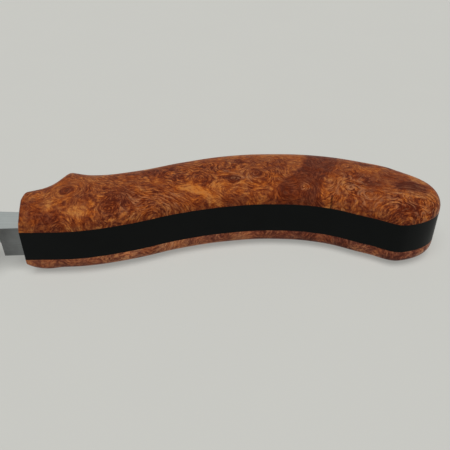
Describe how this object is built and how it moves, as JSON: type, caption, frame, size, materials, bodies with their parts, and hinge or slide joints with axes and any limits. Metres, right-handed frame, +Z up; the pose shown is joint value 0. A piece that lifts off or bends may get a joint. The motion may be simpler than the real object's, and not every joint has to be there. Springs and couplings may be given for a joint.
{
  "type": "drawknife",
  "caption": "Straight drawknife for carving: a bevelled steel blade between swept grips, each a black core slab between domed burl-wood scales.",
  "frame": {"origin": "under the middle of the whole tool, on the surface that it lies on", "axes": "+X along the blade towards the right grip, +Y from the cutting edge to the spine, +Z up with the bevel on top"},
  "size_m": [0.41, 0.0538, 0.0226],
  "materials": {
    "ground_steel": "ground satin",
    "black_anodised": "black anodised satin",
    "burl_wood": "oiled satin burl",
    "pin_steel": "ground"
  },
  "bodies": {
    "root": {"blade": "ground_steel", "right_core": "black_anodised", "right_upper_scale": "burl_wood", "right_lower_scale": "burl_wood", "right_tang_pin_1": "pin_steel", "right_tang_pin_2": "pin_steel", "right_dowel_1": "pin_steel", "right_dowel_2": "pin_steel", "left_core": "black_anodised", "left_upper_scale": "burl_wood", "left_lower_scale": "burl_wood", "left_tang_pin_1": "pin_steel", "left_tang_pin_2": "pin_steel", "left_dowel_1": "pin_steel", "left_dowel_2": "pin_steel"}
  },
  "joints": []
}
